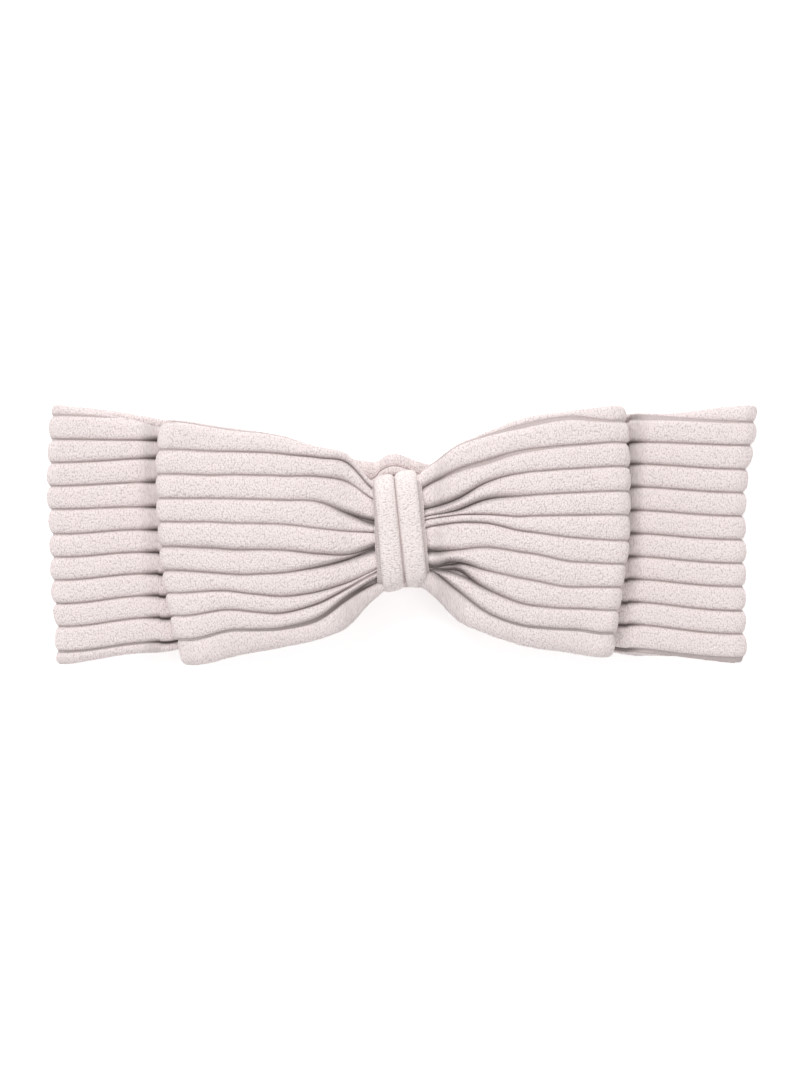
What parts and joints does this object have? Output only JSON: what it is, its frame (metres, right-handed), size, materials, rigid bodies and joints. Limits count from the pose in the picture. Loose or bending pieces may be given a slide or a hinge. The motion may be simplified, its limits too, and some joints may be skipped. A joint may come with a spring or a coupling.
{
  "type": "spa headband",
  "caption": "Stretch terry headband lying flat as a folded loop, with lengthwise ribs, a gathered front and a flat bow held by a wrapped knot",
  "frame": {"origin": "under the middle of the flat-lying loop, on the surface that it lies on", "axes": "+X along the band towards the wearer's left-hand fold, +Y up the band's width, +Z out through the knot and bow"},
  "size_m": [0.239, 0.0858, 0.0264],
  "materials": {
    "band_terry": "matt ribbed terry pile",
    "bow_terry": "matt ribbed terry pile",
    "knot_terry": "matt ribbed terry pile",
    "elastic": "woven elastic",
    "thread": "sewing thread"
  },
  "bodies": {
    "nape": {"nape_outer_wall": "band_terry", "nape_inner_wall": "band_terry", "nape_elastic": "elastic", "elastic_tack_left": "thread", "elastic_tack_right": "thread"},
    "back_left": {"back_outer_wall_left": "band_terry", "back_inner_wall_left": "band_terry"},
    "back_right": {"back_outer_wall_right": "band_terry", "back_inner_wall_right": "band_terry"},
    "front_left": {"front_outer_wall_left": "band_terry", "front_inner_wall_left": "band_terry"},
    "front_right": {"front_outer_wall_right": "band_terry", "front_inner_wall_right": "band_terry"},
    "knot": {"waist_outer_wall": "band_terry", "waist_inner_wall": "band_terry", "bow_tack": "thread", "bow_waist_back": "bow_terry", "bow_seam": "thread", "bow_waist_front": "bow_terry", "knot_wrap": "knot_terry", "knot_seam": "thread"},
    "bow_left": {"bow_back_left": "bow_terry", "bow_front_left": "bow_terry"},
    "bow_right": {"bow_back_right": "bow_terry", "bow_front_right": "bow_terry"}
  },
  "joints": [
    {"name": "loop_open", "type": "hinge", "parent": "nape", "child": "back_left", "pos_m": [-0.032, 0, 0.0051], "axis": [0, 1, 0], "range_deg": [0, 60]},
    {"name": "nape_flex_right", "type": "hinge", "parent": "nape", "child": "back_right", "pos_m": [0.032, 0, 0.0051], "axis": [0, -1, 0], "range_deg": [0, 60]},
    {"name": "fold_left_open", "type": "hinge", "parent": "back_left", "child": "front_left", "pos_m": [-0.1195, 0, 0.0051], "axis": [0, -1, 0], "range_deg": [0, 120]},
    {"name": "fold_right_open", "type": "hinge", "parent": "back_right", "child": "front_right", "pos_m": [0.1195, 0, 0.0051], "axis": [0, 1, 0], "range_deg": [0, 120]},
    {"name": "front_flex_left", "type": "hinge", "parent": "front_left", "child": "knot", "pos_m": [-0.032, 0, 0.0051], "axis": [0, 1, 0], "range_deg": [0, 60]},
    {"name": "bow_left_lift", "type": "hinge", "parent": "knot", "child": "bow_left", "pos_m": [-0.016, 0, 0.0222], "axis": [0, 1, 0], "range_deg": [0, 40]},
    {"name": "bow_right_lift", "type": "hinge", "parent": "knot", "child": "bow_right", "pos_m": [0.016, 0, 0.0222], "axis": [0, -1, 0], "range_deg": [0, 40]}
  ],
  "couplings": [
    {"joint": "nape_flex_right", "follows": "loop_open", "ratio": 1},
    {"joint": "fold_left_open", "follows": "loop_open", "ratio": 2},
    {"joint": "fold_right_open", "follows": "loop_open", "ratio": 2},
    {"joint": "front_flex_left", "follows": "loop_open", "ratio": 1}
  ]
}
